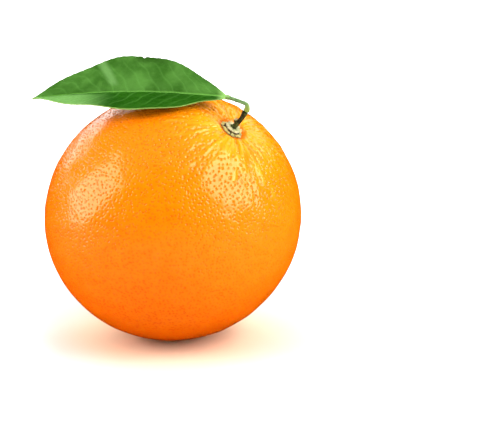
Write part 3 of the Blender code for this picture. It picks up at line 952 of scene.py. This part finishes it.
def leaf_material():
    made, tree, shader = new_material("leaf_green")
    along = attribute(tree, "along")
    vein = attribute(tree, "vein")
    rib = attribute(tree, "midrib")
    under = attribute(tree, "under")
    across = attribute(tree, "across")
    patches = noise(tree, 0.007, 3.0)
    grain = noise(tree, 0.0009, 3.0, 0.6)
    # The near half is deep green, and the far half is lighter and duller as a painted sheen
    near = mix(tree, span(tree, patches, 0.35, 0.68), (0.004, 0.040, 0.0001), (0.008, 0.058, 0.0004))
    far = mix(tree, span(tree, patches, 0.34, 0.72), (0.018, 0.082, 0.004), (0.050, 0.158, 0.020))
    # A painted sheen on a stretch towards the tip of the near half, and a streak of painted sheen across
    # the far half
    painted_sheen = times(tree, span(tree, across, 0.05, 0.25), span(tree, along, 0.56, 0.80))
    near = mix(tree, times(tree, painted_sheen, 0.75), near, (0.13, 0.30, 0.075))
    base = mix(tree, span(tree, across, 0.04, -0.04), near, far)
    slant = plus(tree, along, times(tree, across, 0.10))
    sheen_streak = times(tree, span(tree, slant, 0.53, 0.56), span(tree, slant, 0.60, 0.57))
    sheen_streak = times(tree, sheen_streak, span(tree, across, -0.12, -0.30))
    base = mix(tree, times(tree, sheen_streak, 0.55), base, (0.13, 0.29, 0.08))
    # A darker patch at the nick in the far edge
    dark = times(tree, span(tree, across, -0.72, -0.98), span(tree, along, 0.52, 0.46))
    dark = times(tree, dark, span(tree, along, 0.28, 0.42))
    base = mix(tree, times(tree, dark, 0.85), base, (0.008, 0.045, 0.0005))
    # Fine grain, veins, yellow-green near edge, midrib and base, and a paler lower face
    base = tint(tree, base, grain, (0.45, 0.75), 0.25, (0.040, 0.15, 0.015))
    base = mix(tree, times(tree, vein, 0.20), base, (0.10, 0.28, 0.05))
    base = tint(tree, base, across, (0.965, 0.995), 0.6, (0.26, 0.40, 0.08))
    base = mix(tree, times(tree, rib, 0.75), base, (0.11, 0.30, 0.045))
    base = tint(tree, base, along, (0.06, 0.0), 0.8, (0.26, 0.48, 0.13))
    pale = mix(tree, times(tree, vein, 0.5), (0.16, 0.32, 0.08), (0.26, 0.42, 0.14))
    base = mix(tree, times(tree, under, 0.9), base, pale)
    finish_shader(tree, shader, base, span(tree, grain, 0.3, 0.7, 0.32, 0.42))
    shader.inputs["Specular IOR Level"].default_value = 0.30
    shader.inputs["Specular Tint"].default_value = (0.75, 1.0, 0.50, 1)
    bump(tree, shader, grain, 0.00006)
    return made


# ---- Studio ----


def view_axes():
    """The camera's right, up and back directions."""
    c, s = cos(CAMERA_ELEVATION), sin(CAMERA_ELEVATION)
    return Vector((1, 0, 0)), Vector((0, s, c)), Vector((0, -c, s))


def add_camera():
    right, up, back = view_axes()
    data = bpy.data.cameras.new("camera")
    data.lens = CAMERA_LENS
    data.sensor_width = 36
    camera = bpy.data.objects.new("camera", data)
    bpy.context.scene.collection.objects.link(camera)
    camera.location = FRUIT_CENTRE + right * AIM_RIGHT + up * AIM_UP + back * CAMERA_DISTANCE
    camera.rotation_euler = Euler((pi / 2 - CAMERA_ELEVATION, 0, 0))
    data.clip_start = 0.05
    bpy.context.scene.camera = camera


def add_softbox(name, way, distance, size, radiance, roll=0.0):
    """A rectangular light that faces the fruit, turned by roll. Its power follows from its radiance."""
    data = bpy.data.lights.new(name, "AREA")
    data.shape = "RECTANGLE"
    data.size, data.size_y = size
    data.energy = radiance * pi * size[0] * size[1]
    made = bpy.data.objects.new(name, data)
    bpy.context.scene.collection.objects.link(made)
    way = Vector(way).normalized()
    made.location = FRUIT_CENTRE + way * distance
    facing = way.to_track_quat("Z", "Y").to_matrix() @ Matrix.Rotation(roll, 3, "Z")
    made.rotation_euler = facing.to_euler()
    made.visible_camera = False
    return made


def add_world():
    """Warm light, dim on the camera's side and brighter behind. No glossy surface mirrors it."""
    world = bpy.data.worlds.new("studio")
    bpy.context.scene.world = world
    world.use_nodes = True
    world.cycles_visibility.glossy = False
    tree = world.node_tree
    way = node(tree, "ShaderNodeTexCoord").outputs["Generated"]
    parts = node(tree, "ShaderNodeSeparateXYZ", {0: way})
    behind = span(tree, parts.outputs["Y"], 0.15, 0.75)
    above = span(tree, parts.outputs["Z"], -0.70, -0.35)
    strength = span(tree, times(tree, behind, above), 0, 1, ROOM_LIGHT, PAPER_LIGHT)
    tree.links.new(strength, tree.nodes["Background"].inputs["Strength"])
    tree.nodes["Background"].inputs["Color"].default_value = (1.0, 0.88, 0.70, 1)


def stage_disc(name, radius, height, paint):
    """A round sheet that stands for the studio table."""
    sides = 96
    ring = [(radius * cos(tau * k / sides), radius * sin(tau * k / sides), height) for k in range(sides)]
    mesh = bpy.data.meshes.new(name)
    mesh.from_pydata(ring, [], [tuple(range(sides))])
    mesh.materials.append(paint)
    made = bpy.data.objects.new(name, mesh)
    bpy.context.scene.collection.objects.link(made)
    return made


def floor_material():
    """White card, with painted orange bounce light under the fruit. Farther out it glows, so that its
    far edge doesn't show.
    """
    made, tree, shader = new_material("studio_floor")
    inputs = {0: object_coords(tree)}
    distance = node(tree, "ShaderNodeVectorMath", inputs, operation="LENGTH").outputs["Value"]
    shade = mix(tree, noise(tree, 0.05), (FLOOR_ALBEDO,) * 3, (FLOOR_ALBEDO + 0.01,) * 3)
    # Painted orange bounce light on the floor under the fruit
    shade = mix(tree, span(tree, distance, 0.046, 0.022), shade, FLOOR_PAINTED_BOUNCE)
    finish_shader(tree, shader, shade, span(tree, noise(tree, 0.02), 0.3, 0.7, 0.13, 0.17))
    shader.inputs["Specular IOR Level"].default_value = 0.5
    shader.inputs["Emission Color"].default_value = (1, 1, 1, 1)
    tree.links.new(span(tree, distance, 0.050, 0.125), shader.inputs["Emission Strength"])
    return made


def backdrop_material():
    made, _, shader = new_material("studio_backdrop")
    shader.inputs["Base Color"].default_value = (0, 0, 0, 1)
    shader.inputs["Specular IOR Level"].default_value = 0
    shader.inputs["Emission Color"].default_value = (1, 1, 1, 1)
    shader.inputs["Emission Strength"].default_value = 1.05
    return made


def add_backdrop():
    """A white shell round the table. Only the camera sees it, so it doesn't light the object."""
    bm = bmesh.new()
    bmesh.ops.create_icosphere(bm, subdivisions=3, radius=6)
    mesh = bpy.data.meshes.new("studio_backdrop")
    bm.to_mesh(mesh)
    bm.free()
    mesh.materials.append(backdrop_material())
    made = bpy.data.objects.new("studio_backdrop", mesh)
    bpy.context.scene.collection.objects.link(made)
    made.visible_diffuse = False
    made.visible_glossy = False
    made.visible_transmission = False
    made.visible_shadow = False


def add_studio():
    add_world()
    add_softbox("left_softbox", (-0.88, -0.18, 0.36), 0.75, (0.44, 0.76), 7.4, radians(-30))
    add_softbox("right_softbox", (0.75, -0.30, 0.50), 0.75, (0.52, 0.66), 8.8)
    add_softbox("back_softbox", (-0.52, 0.80, 0.32), 0.9, (0.80, 0.30), 3.0)
    add_softbox("far_softbox", (0.50, 0.72, 0.50), 0.9, (0.50, 0.40), 1.4)
    above = add_softbox("top_softbox", (0.0, 0.20, 1.0), 1.3, (2.4, 2.4), 2.2)
    above.visible_glossy = False
    floor = stage_disc("studio_floor", FLOOR_RADIUS, -0.00002, floor_material())
    floor.visible_glossy = False
    add_backdrop()
    bpy.context.scene.view_settings.view_transform = "Standard"


# ---- Putting it together ----


def place(piece, paint, node_name, slot):
    piece.data.materials.append(paint)
    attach(piece, "root")
    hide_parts(node_name)


def main():
    add_camera()
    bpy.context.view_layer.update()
    place(build_fruit(), peel_material(), "fruit", "peel")
    place(build_calyx(), calyx_material(), "calyx", "calyx_wood")
    place(build_twig(), bark_material(), "twig", "bark")
    place(build_petiole(), petiole_material(), "petiole", "petiole_green")
    place(build_leaf(), leaf_material(), "leaf_blade", "leaf_green")
    add_studio()


main()
